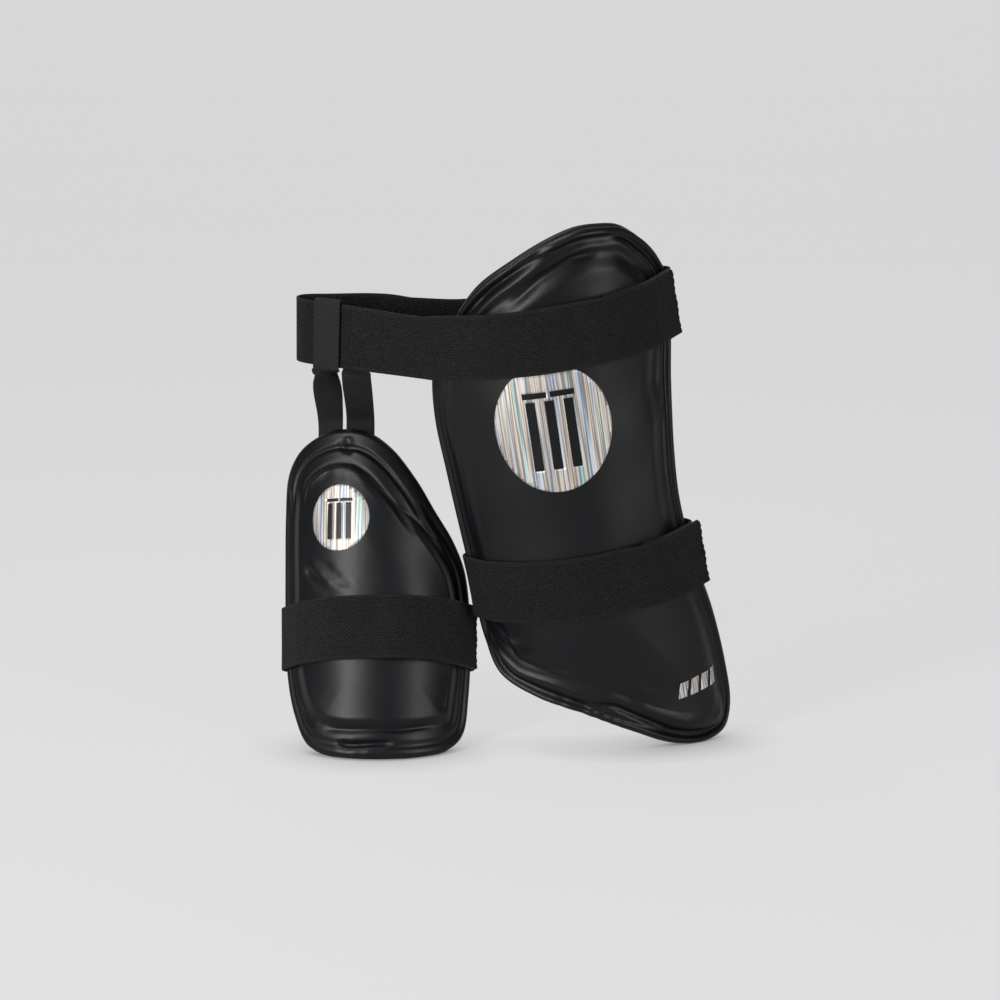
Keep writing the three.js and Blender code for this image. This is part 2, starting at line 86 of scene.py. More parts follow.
def evenly(line, count):
    """An open line of points walked again in equal steps."""
    gone = np.concatenate(([0], np.cumsum(np.linalg.norm(np.diff(line, axis=0), axis=1))))
    at = np.linspace(0, gone[-1], count)
    return np.column_stack([np.interp(at, gone, line[:, k]) for k in range(line.shape[1])])


def unrolled(guard, pairs):
    """Shares of the half width and length, as distance round the thigh and height."""
    pairs = np.array(pairs, float)
    radius = guard["radius"]
    return np.column_stack((
        radius * np.arcsin(pairs[:, 0] * guard["half"] / radius),
        pairs[:, 1] * guard["length"],
    ))


def distance_to(points, line):
    """How far each point of the unrolled face is from a line, and the nearest share along it."""
    nearest = np.full(len(points), 9.0)
    along = np.zeros(len(points))
    for i, (start, end) in enumerate(zip(line[:-1], line[1:])):
        way = end - start
        share = np.clip(((points - start) @ way) / max(way @ way, 1e-12), 0, 1)
        off = points - start - share[:, None] * way
        far = np.hypot(off[:, 0], off[:, 1])
        along = np.where(far < nearest, (i + share) / (len(line) - 1), along)
        nearest = np.minimum(nearest, far)
    return nearest, along


def moulded(inset, steps):
    """Height of the moulding at a distance in from the edge, level at each step of the table."""
    height = np.full(len(inset), steps[0][1], float)
    for (near, low), (far, high) in zip(steps[:-1], steps[1:]):
        share = np.clip((inset - near) / (far - near), 0, 1)
        height = height + (high - low) * share * share * (3 - 2 * share)
    return height


def cover_rise(guard, points):
    """Height of a cover's face off the thigh's round, with its mouldings, folds and dents.

    Mouldings blend over a short share of the edge, and folds fade out at both of their ends.
    """
    blend, fading = 0.03, 0.2
    gather_at, gather_wide = 0.006, 0.007
    unevenness = 0.0003
    closed = np.vstack((guard["edge"], guard["edge"][:1]))
    inset, along = distance_to(points, closed)
    total = np.zeros(len(points))
    rise = np.zeros(len(points))
    for start, end, steps in guard["mouldings"]:
        middle, half = (start + end) / 2, (end - start) / 2
        off = np.abs((along - middle + 0.5) % 1 - 0.5)
        weight = np.clip((half - off) / blend + 0.5, 0.0001, 1)
        total = total + weight
        rise = rise + weight * moulded(inset, [(a / 1000, b / 1000) for a, b in steps])
    rise = rise / total
    roll = np.clip((guard["rim_crest"] - inset) / (guard["rim_crest"] - guard["margin"]), 0, 1)
    rise = rise - guard["rim_drop"] * (1 - np.sqrt(1 - 0.96 * roll ** 2))
    for width, height, line in guard["folds"]:
        off, part = distance_to(points, np.array(line, float) / 1000)
        fade = np.clip(np.minimum(part, 1 - part) / fading, 0, 1)
        fade = fade * fade * (3 - 2 * fade)
        rise = rise + height / 1000 * fade * np.exp(-((off / (width / 1000)) ** 2))
    for start, end, deep, pleats in guard["gathers"]:
        place = (along - start) % 1 / ((end - start) % 1)
        near = np.where(place < 1, np.sin(np.pi * np.clip(place, 0, 1)), 0)
        edge = np.exp(-((inset - gather_at) / gather_wide) ** 2)
        wave = np.sin(2 * np.pi * (pleats * place + 0.35 * np.sin(9 * place)))
        rise = rise + deep / 1000 * near * edge * wave
    u, v = points[:, 0], points[:, 1]
    soft = np.sin(u * 71 + 1.3) * np.sin(v * 43 + u * 20) + 0.6 * np.sin(u * 33 - v * 97 + 0.7)
    return rise + unevenness * soft * np.clip(inset / 0.02, 0, 1)


def wrapped(guard, points, rise):
    """Points of the unrolled face bent round the thigh, lifted, and stood on the floor."""
    angle = points[:, 0] / guard["radius"]
    reach = guard["radius"] + rise
    bent = np.column_stack((
        reach * np.sin(angle), guard["radius"] - reach * np.cos(angle), points[:, 1],
    ))
    place = np.array(guard["place"])
    stood = bent @ place[:3, :3].T + place[:3, 3]
    stood[:, 2] = np.maximum(stood[:, 2], 0)
    return stood


def made_piece(name, shell):
    """A finished bmesh as an object of the scene, shaded smooth."""
    for face in shell.faces:
        face.smooth = True
    mesh = bpy.data.meshes.new(name)
    shell.to_mesh(mesh)
    shell.free()
    piece = bpy.data.objects.new(name, mesh)
    bpy.context.scene.collection.objects.link(piece)
    return piece


def drawn_on(shell, row, edges):
    """A row of vertices extruded once: the new row in the same order, and its edges."""
    order = {vert: i for i, vert in enumerate(row)}
    grown = bmesh.ops.extrude_edge_only(shell, edges=edges)["geom"]
    following = [None] * len(row)
    for vert in (g for g in grown if isinstance(g, bmesh.types.BMVert)):
        for link in vert.link_edges:
            near = link.other_vert(vert)
            if near in order:
                following[order[near]] = vert
    fresh = set(following)
    return following, [g for g in grown if isinstance(g, bmesh.types.BMEdge)
                       and g.verts[0] in fresh and g.verts[1] in fresh]


def guard_layer(name, guard, rows):
    """A closed layer of a guard, its edge loop drawn in row by row to the spine of its face."""
    edge = guard["edge"]
    way = guard["spine"] - edge
    reach = np.linalg.norm(way, axis=1)[:, None]
    flat = [edge + way / reach * (row["inset"] + row["share"] * (reach - row["inset"]))
            for row in rows]
    shell = bmesh.new()
    loop = [shell.verts.new((0, 0, 0)) for point in edge]
    edges = [shell.edges.new((loop[i - 1], loop[i])) for i in range(len(loop))]
    places = []
    for row, points in zip(rows, flat):
        if row["rise"] is None:
            rise = cover_rise(guard, points)
        else:
            rise = np.full(len(points), row["rise"])
        places.append(wrapped(guard, points, rise))
    for j, stood in enumerate(places):
        if j:
            loop, edges = drawn_on(shell, loop, edges)
        for vert, spot in zip(loop, stood):
            vert.co = spot
    bmesh.ops.remove_doubles(shell, verts=shell.verts, dist=2e-6)
    bmesh.ops.recalc_face_normals(shell, faces=shell.faces)
    return made_piece(name, shell)


def row_list(insets, shares, rise=None):
    """Rows of a layer: insets in millimetres, then shares of the way on to the spine.

    A row without a rise of its own takes the cover's moulded height.
    """
    rows = [{"inset": inset / 1000, "share": 0, "rise": rise} for inset in insets]
    return rows + [{"inset": insets[-1] / 1000, "share": share, "rise": rise} for share in shares]


outer_guard = {
    "half": 0.1, "length": 0.42, "radius": 0.112, "margin": 0.0018, "stations": 380,
    "rim_crest": 0.0052, "rim_drop": 0.0030,
    "mouldings": (
        (0.84, 1.14, ((0, 4.6), (5.2, 4.6), (8.6, 2.0), (15, 5.2), (20, 4.4), (34, 9.3), (85, 12))),
        (0.14, 0.37, ((0, 5.0), (5.2, 5.0), (8, 3.2), (10.4, 4.3), (12.5, 3.9), (28, 9.2), (85, 12))),
        (0.37, 0.53, ((0, 5.0), (5.2, 5.0), (8, 3.0), (16, 4.8), (26, 5.0), (31, 6.6), (41, 7.2),
                      (49, 9.6), (85, 12))),
        (0.53, 0.61, ((0, 4.6), (5, 4.6), (8.2, 0.6), (12, 6.0), (20, 8.2), (34, 9.6), (85, 12))),
        (0.61, 0.84, ((0, 5.0), (5.2, 5.0), (8, 3.0), (11, 4.6), (13.5, 3.8), (28, 9.2), (85, 12))),
    ),
    "folds": (
        (4.5, 2.2, ((-47, 378), (-23, 394), (2, 409), (18, 414), (39, 411), (53, 400), (61, 385),
                    (61, 371))),
        (2.6, -2.2, ((-65, 371), (-46, 386), (-23, 400), (1, 412))),
        (3.0, -1.9, ((-40, 368), (-12, 388), (12, 398), (36, 399))),
        (2.6, 2.0, ((-112, 150), (-99, 125), (-80, 108), (-50, 97), (-14, 84), (4, 66), (20, 50),
                    (44, 38))),
        (4.0, -1.6, ((-104, 128), (-72, 94), (-40, 84), (-8, 66), (14, 44))),
        (2.6, 1.8, ((-110, 130), (-96, 100), (-78, 84), (-50, 74), (-22, 60), (-4, 56))),
        (3.2, -2.0, ((-108, 112), (-88, 80), (-56, 66), (-24, 50))),
        (2.6, -4.2, ((-30, 56), (-10, 50), (9, 36), (27, 22), (42, 14), (60, 9), (72, 12))),
        (5.5, 1.8, ((0, 52), (20, 38), (40, 26), (66, 21))),
        (6.0, -1.0, ((-88, 180), (-84, 250), (-86, 320))),
        (1.6, 0.9, ((-98, 180), (-97, 240), (-99, 300), (-97, 340))),
    ),
    "gathers": ((0.44, 0.51, 0.7, 7), (0.93, 0.99, 0.3, 3)),
    "place": standing(0.10002, -0.00770, -0.01277, -6, 10.5, 8),
}
inner_guard = {
    "half": 0.071, "length": 0.254, "radius": 0.079, "margin": 0.0018, "stations": 300,
    "rim_crest": 0.0052, "rim_drop": 0.0028,
    "mouldings": (
        (0.86, 1.12, ((0, 4.4), (6, 4.6), (12, 4.6), (15.5, 2.8), (19, 5.2), (25, 5.4), (27, 4.9),
                      (33, 8.4), (60, 10))),
        (0.12, 0.38, ((0, 4.5), (5.2, 4.5), (8.5, 2.9), (12, 4.4), (14.5, 3.7), (27, 8.2), (60, 10))),
        (0.38, 0.58, ((0, 4.5), (6, 4.6), (10, 3.4), (15, 4.8), (22, 4.4), (31, 8.4), (60, 10))),
        (0.58, 0.86, ((0, 4.5), (5.2, 4.5), (9, 2.8), (14, 4.6), (18, 3.8), (28, 8.2), (60, 10))),
    ),
    "folds": (
        (3.0, -2.0, ((-55, 148), (-42, 134), (-28, 122))),
        (3.0, -2.0, ((-43, 153), (-32, 140), (-20, 127))),
        (3.6, 1.5, ((-49, 151), (-37, 138), (-24, 125))),
        (2.0, -1.3, ((-42, 24), (-18, 22), (17, 22), (50, 28))),
        (2.6, -2.8, ((-30, 13), (-18, 11), (0, 12), (15, 13))),
        (5.0, -1.0, ((48, 35), (56, 70))),
        (1.6, -0.8, ((-61, 200), (-35, 219), (-8, 212), (22, 186), (57, 160))),
        (2.2, -1.4, ((-29, 244), (-25, 236), (-17, 233))),
        (2.0, 1.0, ((-22, 246), (-20, 239))),
    ),
    "gathers": ((0.38, 0.5, 0.25, 5),),
    "place": standing(-0.09798, -0.04570, 0.00025, 20, 0, 0),
}
for guard, outline, ends in (
    (outer_guard, OUTER_OUTLINE, ((0.06, 0.8), (0.02, 0.27))),
    (inner_guard, INNER_OUTLINE, ((-0.1, 0.72), (0, 0.26))),
):
    guard["edge"] = smooth_loop(unrolled(guard, outline), guard["stations"])
    top, foot = unrolled(guard, ends)
    step = np.arange(guard["stations"])
    share = np.minimum(step, guard["stations"] - step) / (guard["stations"] / 2)
    guard["spine"] = top + share[:, None] * (foot - top)

face_insets = [1.8, 2, 2.3, 2.7, 3.2, 3.8, 4.5] + [5.2 + 0.9 * k for k in range(34)]
face_shares = [0.08, 0.18, 0.3, 0.42, 0.54, 0.66, 0.77, 0.86, 0.93, 0.97, 1]
face_rows = row_list(face_insets, face_shares)
seam_side = row_list([2.1, 2.4], [], 0.0007)
back_rows = row_list([2.8, 10.5, 31], [0.4, 1], 0.00016)
cover_rows = face_rows[::-1] + seam_side + back_rows


def new_finish(name):
    """A new material, with its nodes, its links and its shader."""
    made = bpy.data.materials.new(name)
    made.use_nodes = True
    nodes, links = made.node_tree.nodes, made.node_tree.links
    return made, nodes, links, nodes["Principled BSDF"]


def node_of(nodes, kind, settings=None):
    """A new node of a material, with the sockets that are named set to their values."""
    node = nodes.new("ShaderNode" + kind)
    for socket, value in (settings or {}).items():
        node.inputs[socket].default_value = value
    return node


def leather(name, colour, roughness):
    """Smooth satin leathercloth with a fine grain and faint wear."""
    made, nodes, links, shader = new_finish(name)
    shader.inputs["Base Color"].default_value = (*colour, 1)
    shader.inputs["Specular IOR Level"].default_value = 0.19
    where = node_of(nodes, "TexCoord")
    cloudy = node_of(nodes, "TexNoise", {"Scale": 22, "Detail": 4})
    links.new(where.outputs["Object"], cloudy.inputs["Vector"])
    worn = node_of(nodes, "MapRange", {"To Min": roughness - 0.06, "To Max": roughness + 0.06})
    links.new(cloudy.outputs["Fac"], worn.inputs["Value"])
    links.new(worn.outputs["Result"], shader.inputs["Roughness"])
    grain = node_of(nodes, "TexNoise", {"Scale": 900, "Detail": 3})
    links.new(where.outputs["Object"], grain.inputs["Vector"])
    fine = node_of(nodes, "Bump", {"Strength": 0.12, "Distance": 0.0004})
    links.new(grain.outputs["Fac"], fine.inputs["Height"])
    pressed = node_of(nodes, "TexNoise", {"Scale": 60, "Detail": 2})
    links.new(where.outputs["Object"], pressed.inputs["Vector"])
    soft = node_of(nodes, "Bump", {"Strength": 0.10, "Distance": 0.002})
    links.new(pressed.outputs["Fac"], soft.inputs["Height"])
    links.new(fine.outputs["Normal"], soft.inputs["Normal"])
    links.new(soft.outputs["Normal"], shader.inputs["Normal"])
    return made


cover_leather = leather("cover leather", (0.0022, 0.0024, 0.0031), 0.42)
outer_cover = guard_layer("outer_cover", outer_guard, cover_rows)
inner_cover = guard_layer("inner_cover", inner_guard, cover_rows)
for piece, node in ((outer_cover, "outer_guard_cover"), (inner_cover, "inner_guard_cover")):
    piece.data.materials.append(cover_leather)
    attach(piece, "root")
    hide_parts(node)

# Linings. A soft padded layer behind each cover, black lining cloth bound over foam, sewn to the
# cover round the edge, so that its rounded rim shows beside the cover's own.


def lining_rows(depth):
    """Rows from the spine of the mating face round the rim to the spine of the inside."""
    rim = [(1.8, 0.02), (0.9, 0.10), (0.3, 0.24), (0, 0.42), (0.2, 0.6), (0.9, 0.78), (2.2, 0.9),
           (4, 0.97), (6, 1.0), (8.5, 0.98), (9.6, 0.9), (10.7, 0.97), (14, 1.0), (21, 0.97)]
    rows = row_list([2.8, 10.5, 31], [0.4, 1], -0.00016)[::-1]
    rows += [{"inset": inset / 1000, "share": 0, "rise": -share * depth} for inset, share in rim]
    return rows + row_list([31], [0.2, 0.4, 0.6, 0.8, 1], -depth)


lining_cloth = leather("lining cloth", (0.0024, 0.0024, 0.0028), 0.5)
outer_lining = guard_layer("outer_lining", outer_guard, lining_rows(0.009))
inner_lining = guard_layer("inner_lining", inner_guard, lining_rows(0.008))
for piece, node in ((outer_lining, "outer_guard_lining"), (inner_lining, "inner_guard_lining")):
    piece.data.materials.append(lining_cloth)
    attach(piece, "root")
    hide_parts(node)

# Foil badges. Holographic silver foil, pressed hot on to the covers: a round-ended oval with a
# plain wicket left out of it on each guard, and four small slanted bars at the outer guard's foot.

FOIL_LIFT = 0.0003
FOIL_THICK = 0.00012
FOIL_CUTS = np.arange(-0.06, 0.06, 0.003)


def on_cover(guard, flat, spot, tilt):
    """Points of a flat pattern laid on a cover round a spot of its unrolled face."""
    turn = math.radians(tilt)
    points = np.array([(vert.co.x, vert.co.y) for vert in flat.verts])
    u = spot[0] + points[:, 0] * math.cos(turn) - points[:, 1] * math.sin(turn)
    v = spot[1] + points[:, 0] * math.sin(turn) + points[:, 1] * math.cos(turn)
    laid = np.column_stack((u, v))
    return wrapped(guard, laid, cover_rise(guard, laid) + FOIL_LIFT)


def cut_across(flat, places, normal):
    """Cuts a flat pattern along straight lines."""
    for place in places:
        bmesh.ops.bisect_plane(flat, geom=flat.verts[:] + flat.edges[:] + flat.faces[:],
                               dist=1e-7, plane_co=Vector(normal) * place, plane_no=normal)


def foil_piece(name, guard, flat, spot, tilt):
    """A flat pattern as foil on a guard's cover."""
    cut_across(flat, FOIL_CUTS, (1, 0, 0))
    cut_across(flat, FOIL_CUTS, (0, 1, 0))
    chart = flat.loops.layers.uv.new("UVMap")
    for face in flat.faces:
        for corner in face.loops:
            corner[chart].uv = corner.vert.co.xy
    for vert, point in zip(flat.verts, on_cover(guard, flat, spot, tilt)):
        vert.co = point
    piece = made_piece(name, flat)
    thick = piece.modifiers.new("foil", "SOLIDIFY")
    thick.thickness = FOIL_THICK
    thick.offset = 0
    piece.data.materials.append(foil)
    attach(piece, "root")


def wicket_badge(size):
    """An oval with the shape of a wicket cut out of it: three stumps and two bails."""
    flat = bmesh.new()
    bmesh.ops.create_circle(flat, cap_ends=True, segments=72, radius=0.5)
    wide, tall = size
    bmesh.ops.scale(flat, vec=(wide, tall, 1), verts=flat.verts)
    stumps = [(-0.20, -0.12), (-0.04, 0.04), (0.12, 0.20)]
    bails = [(-0.22, -0.015), (0.015, 0.22)]
    foot, head, bail_low, bail_top = -0.32, 0.22, 0.245, 0.29
    cut_across(flat, [x * wide for pair in stumps + bails for x in pair], (1, 0, 0))
    cut_across(flat, [y * tall for y in (foot, head, bail_low, bail_top)], (0, 1, 0))
    gone = []
    for face in flat.faces:
        middle = face.calc_center_median()
        x, y = middle.x / wide, middle.y / tall
        in_stump = foot < y < head and any(a < x < b for a, b in stumps)
        in_bail = bail_low < y < bail_top and any(a < x < b for a, b in bails)
        if in_stump or in_bail:
            gone.append(face)
    bmesh.ops.delete(flat, geom=gone, context="FACES")
    return flat


foil, nodes, links, shader = new_finish("holographic foil")
shader.inputs["Metallic"].default_value = 0.5
shader.inputs["Roughness"].default_value = 0.5
where = node_of(nodes, "TexCoord")
drawn = node_of(nodes, "Mapping", {"Scale": (1, 0.012, 1)})
links.new(where.outputs["UV"], drawn.inputs["Vector"])
streaks = node_of(nodes, "TexNoise", {"Scale": 900, "Detail": 4})
links.new(drawn.outputs["Vector"], streaks.inputs["Vector"])
wide_streaks = node_of(nodes, "TexNoise", {"Scale": 110, "Detail": 2})
links.new(drawn.outputs["Vector"], wide_streaks.inputs["Vector"])
hues = node_of(nodes, "ValToRGB")
ramp = hues.color_ramp
ramp.elements[0].position = 0.30
ramp.elements[0].color = (0.34, 0.36, 0.72, 1)
ramp.elements[1].position = 0.72
ramp.elements[1].color = (0.88, 0.92, 0.95, 1)
for position, colour in ((0.38, (0.62, 0.74, 0.95, 1)), (0.46, (0.92, 0.93, 0.94, 1)),
                         (0.53, (0.93, 0.76, 0.62, 1)), (0.58, (0.90, 0.92, 0.80, 1)),
                         (0.64, (0.62, 0.86, 0.86, 1))):
    stop = ramp.elements.new(position)
    stop.color = colour
links.new(wide_streaks.outputs["Fac"], hues.inputs["Fac"])
lines = node_of(nodes, "MapRange", {
    "From Min": 0.42, "From Max": 0.58, "To Min": 0.16, "To Max": 0.50,
})
links.new(streaks.outputs["Fac"], lines.inputs["Value"])
shine = node_of(nodes, "Mix")
shine.data_type = "RGBA"
shine.blend_type = "MULTIPLY"
shine.inputs["Factor"].default_value = 1
links.new(hues.outputs["Color"], shine.inputs[6])
links.new(lines.outputs["Result"], shine.inputs[7])
links.new(shine.outputs[2], shader.inputs["Base Color"])

foil_piece("outer_badge", outer_guard, wicket_badge((0.080, 0.098)), (-0.020, 0.277), -1)
foil_piece("inner_badge", inner_guard, wicket_badge((0.042, 0.051)), (-0.026, 0.183), 0)
bar_wide, bar_tall, bar_pitch, bar_slant = 0.0066, 0.0125, 0.0092, 0.25
bars = bmesh.new()
for k in range(4):
    bar = bmesh.ops.create_grid(bars, x_segments=1, y_segments=1, size=0.5)["verts"]
    bmesh.ops.scale(bars, vec=(bar_wide, bar_tall, 1), verts=bar)
    bmesh.ops.translate(bars, vec=((k - 1.5) * bar_pitch, 0, 0), verts=bar)
    for vert in bar:
        vert.co.x += bar_slant * vert.co.y
foil_piece("bar_badge", outer_guard, bars, (0.055, 0.052), 3)

# Thigh straps. Each is one length of black woven elastic that starts under its own free end on
# the guard's face, goes round behind the thigh and closes over its start with sewn hook tape.

ELASTIC = 0.002
TAPE = 0.0012
TAPE_GAP = 0.0005
FREE_END = 0.012
TAPE_STEPS = 19
TAPE_SHOWS = 0.0012
ELASTIC_FRAY = 0.0006
TAPE_FRAY = 0.0008
STRAP_STEP = 0.002
STRAP_CLEAR = 0.0009
STRAP_STARTS = 0.3


def tight_line(points):
    """The tight line round points seen from above, counterclockwise."""
    def chain(run):
        line = []
        for point in run:
            while len(line) > 1:
                first, last = line[-2], line[-1]
                if ((last[0] - first[0]) * (point[1] - first[1])
                        > (last[1] - first[1]) * (point[0] - first[0])):
                    break
                line.pop()
            line.append(point)
        return line[:-1]
    ordered = sorted(map(tuple, points))
    return np.array(chain(ordered) + chain(ordered[::-1]))


def ringed(points, distance):
    """Points on a small ring round each given one."""
    turns = np.linspace(0, 2 * np.pi, 16, endpoint=False)
    ring = distance * np.column_stack((np.cos(turns), np.sin(turns)))
    return (np.asarray(points)[:, None, :] + ring[None, :, :]).reshape(-1, 2)


def round_guard(pieces, guard, low, high):
    """The tight line of a strap's edge round a guard, in the guard's own frame."""
    back = np.array(guard["place"].inverted())
    found = []
    for piece in pieces:
        spots = np.array([vert.co for vert in piece.data.vertices])
        local = spots @ back[:3, :3].T + back[:3, 3]
        found.append(local[(local[:, 2] > low) & (local[:, 2] < high)][:, :2])
    return tight_line(ringed(tight_line(np.vstack(found)), STRAP_CLEAR))


def started(line, across):
    """A closed line opened where its front passes a distance across."""
    following = np.roll(line, -1, axis=0)
    front = np.nonzero((line[:, 0] <= across) & (following[:, 0] > across))[0][0]
    share = (across - line[front, 0]) / (following[front, 0] - line[front, 0])
    start = line[front] + share * (following[front] - line[front])
    turned = np.roll(line, -front - 1, axis=0)
    return np.vstack((start, turned, start))


def outwards(line):
    """Unit normals of a counterclockwise line, out of it."""
    along = np.gradient(line, axis=0)
    along = along / np.linalg.norm(along, axis=1)[:, None]
    return np.column_stack((along[:, 1], -along[:, 0]))


def lapped(line, steps, girth, overlap):
    """A strap's line from its start once round, over the start again and straight on."""
    round_once = evenly(line, steps + 1)
    lap = round(steps * overlap / girth)
    whole = np.vstack((round_once, round_once[1:lap + 1]))
    near = np.arange(len(whole))
    rise_from = steps - lap / 2
    share = np.clip((near - rise_from) / (steps - 2 - rise_from), 0, 1)
    lift = (ELASTIC + TAPE + 2 * TAPE_GAP) * share * share * (3 - 2 * share)
    raised = whole + outwards(whole) * lift[:, None]
    leaving = raised[-1] - raised[-3]
    leaving = leaving / np.linalg.norm(leaving)
    free = [raised[-1] + leaving * FREE_END * k / 6 for k in range(1, 7)]
    return np.vstack((raised, free))


def strap_piece(name, low, high, thickness, material, fray):
    """A band between its two edges, with a cloth thickness and an unevenly cut free end.

    Its own UV map runs from the free end and from the lower edge, in metres.
    """
    across = 24
    band = bmesh.new()
    chart = band.loops.layers.uv.new("UVMap")
    columns = [low + (high - low) * k / across for k in range(across + 1)]
    middle = (low + high) / 2
    gone = np.concatenate(([0], np.cumsum(np.linalg.norm(np.diff(middle, axis=0), axis=1))))
    wide = float(np.linalg.norm(high[0] - low[0]))
    column = [band.verts.new(columns[k][0]) for k in range(across + 1)]
    edges = [band.edges.new((column[k], column[k + 1])) for k in range(across)]
    spots = {vert: (float(gone[-1]), wide * k / across) for k, vert in enumerate(column)}
    for i in range(1, len(low)):
        column, edges = drawn_on(band, column, edges)
        for k, vert in enumerate(column):
            vert.co = columns[k][i]
            spots[vert] = (float(gone[-1] - gone[i]), wide * k / across)
    away = Vector(middle[-1] - middle[-2]).normalized()
    for k, vert in enumerate(column):
        vert.co += away * fray * (math.sin(k * 2.3 + 0.5) + 0.7 * math.sin(k * 0.63 + 1))
    for face in band.faces:
        for corner in face.loops:
            corner[chart].uv = spots[corner.vert]
    piece = made_piece(name, band)
    wall = piece.modifiers.new("thickness", "SOLIDIFY")
    wall.thickness = thickness
    wall.offset = 0
    soft = piece.modifiers.new("edge", "BEVEL")
    soft.affect = "EDGES"
    soft.width = 0.25 * thickness
    soft.segments = 2
    soft.profile = 0.5
    soft.material = -1
    soft.limit_method = "ANGLE"
    piece.data.materials.append(material)
    return piece


def elastic_cloth(wide):
    """Black woven elastic: staggered ribs along it, plain selvedges, and painted shade that darkens
    its free end.
    """
    made, nodes, links, shader = new_finish("woven elastic")
    shader.inputs["Roughness"].default_value = 0.8
    shader.inputs["Specular IOR Level"].default_value = 0.10
    shader.inputs["Sheen Weight"].default_value = 0.03
    shader.inputs["Sheen Roughness"].default_value = 0.5
    where = node_of(nodes, "TexCoord")
    drift = node_of(nodes, "TexNoise", {"Scale": 60})
    links.new(where.outputs["UV"], drift.inputs["Vector"])
    shaken = node_of(nodes, "VectorMath")
    shaken.operation = "MULTIPLY_ADD"
    shaken.inputs[1].default_value = (0.004, 0.0016, 0)
    links.new(drift.outputs["Color"], shaken.inputs[0])
    links.new(where.outputs["UV"], shaken.inputs[2])
    weave = node_of(nodes, "TexBrick", {
        "Color1": (0.0082, 0.0082, 0.0086, 1), "Color2": (0.0034, 0.0034, 0.0036, 1),
        "Mortar": (0.0001, 0.0001, 0.0001, 1), "Scale": 1, "Brick Width": 0.0032,
        "Row Height": 0.0015, "Mortar Size": 0.00050, "Mortar Smooth": 0.8,
    })
    weave.offset = 0.5
    links.new(shaken.outputs["Vector"], weave.inputs["Vector"])
    split = node_of(nodes, "SeparateXYZ")
    links.new(where.outputs["UV"], split.inputs["Vector"])
    off_middle = node_of(nodes, "Math")
    off_middle.operation = "SUBTRACT"
    off_middle.inputs[1].default_value = wide / 2
    links.new(split.outputs["Y"], off_middle.inputs[0])
    from_middle = node_of(nodes, "Math")
    from_middle.operation = "ABSOLUTE"
    links.new(off_middle.outputs["Value"], from_middle.inputs[0])
    selvedge = node_of(nodes, "MapRange", {
        "From Min": wide / 2 - 0.0026, "From Max": wide / 2 - 0.0020,
    })
    links.new(from_middle.outputs["Value"], selvedge.inputs["Value"])
    bound = node_of(nodes, "Mix")
    bound.data_type = "RGBA"
    bound.inputs[7].default_value = (0.0050, 0.0050, 0.0053, 1)
    links.new(selvedge.outputs["Result"], bound.inputs["Factor"])
    links.new(weave.outputs["Color"], bound.inputs[6])
    # Painted shade at the free end: the colour falls to a quarter over its last few millimetres,
    # where the strap turns away from the light.
    end_shade = node_of(nodes, "MapRange", {"From Min": 0.0024, "From Max": 0.0050, "To Min": 0.25})
    links.new(split.outputs["X"], end_shade.inputs["Value"])
    end_shaded = node_of(nodes, "Mix")
    end_shaded.data_type = "RGBA"
    end_shaded.blend_type = "MULTIPLY"
    end_shaded.inputs["Factor"].default_value = 1
    links.new(bound.outputs[2], end_shaded.inputs[6])
    links.new(end_shade.outputs["Result"], end_shaded.inputs[7])
    links.new(end_shaded.outputs[2], shader.inputs["Base Color"])
    fuzz = node_of(nodes, "TexNoise", {"Scale": 1800})
    links.new(where.outputs["UV"], fuzz.inputs["Vector"])
    rough = node_of(nodes, "Bump", {"Strength": 0.4, "Distance": 0.0003})
    links.new(fuzz.outputs["Fac"], rough.inputs["Height"])
    ribbed = node_of(nodes, "Bump", {"Strength": 1.0, "Distance": 0.0010})
    ribbed.invert = True
    links.new(weave.outputs["Fac"], ribbed.inputs["Height"])
    links.new(rough.outputs["Normal"], ribbed.inputs["Normal"])
    links.new(ribbed.outputs["Normal"], shader.inputs["Normal"])
    return made


def fuzzy_tape():
    """Black hook tape, a dense mat of tiny hooks."""
    made, nodes, links, shader = new_finish("hook tape")
    shader.inputs["Base Color"].default_value = (0.008, 0.008, 0.008, 1)
    shader.inputs["Roughness"].default_value = 0.9
    where = node_of(nodes, "TexCoord")
    hooks = node_of(nodes, "TexVoronoi", {"Scale": 900})
    links.new(where.outputs["Object"], hooks.inputs["Vector"])
    stubs = node_of(nodes, "Bump", {"Strength": 1, "Distance": 0.0008})
    links.new(hooks.outputs["Distance"], stubs.inputs["Height"])
    links.new(stubs.outputs["Normal"], shader.inputs["Normal"])
    return made


elastic = elastic_cloth(0.049)
hook_tape = fuzzy_tape()


def strap_edges(guard, lines, height, wide, dip):
    """Both edges of a strap as places in the room, lower by the dip towards the back."""
    place = np.array(guard["place"])
    edges = []
    for side, line in zip((-1, 1), lines):
        level = height + side * wide / 2 - dip * line[:, 1] / guard["radius"]
        local = np.column_stack((line, level))
        edges.append(local @ place[:3, :3].T + place[:3, 3])
    return edges


def taped(line):
    """The line of the hook tape, behind the last stretch of a strap."""
    tape = line - outwards(line) * (TAPE / 2 + TAPE_GAP + ELASTIC / 2)
    tape = tape[-TAPE_STEPS:]
    leaving = (tape[-1] - tape[-2]) / np.linalg.norm(tape[-1] - tape[-2])
    return np.vstack((tape, tape[-1] + leaving * TAPE_SHOWS))


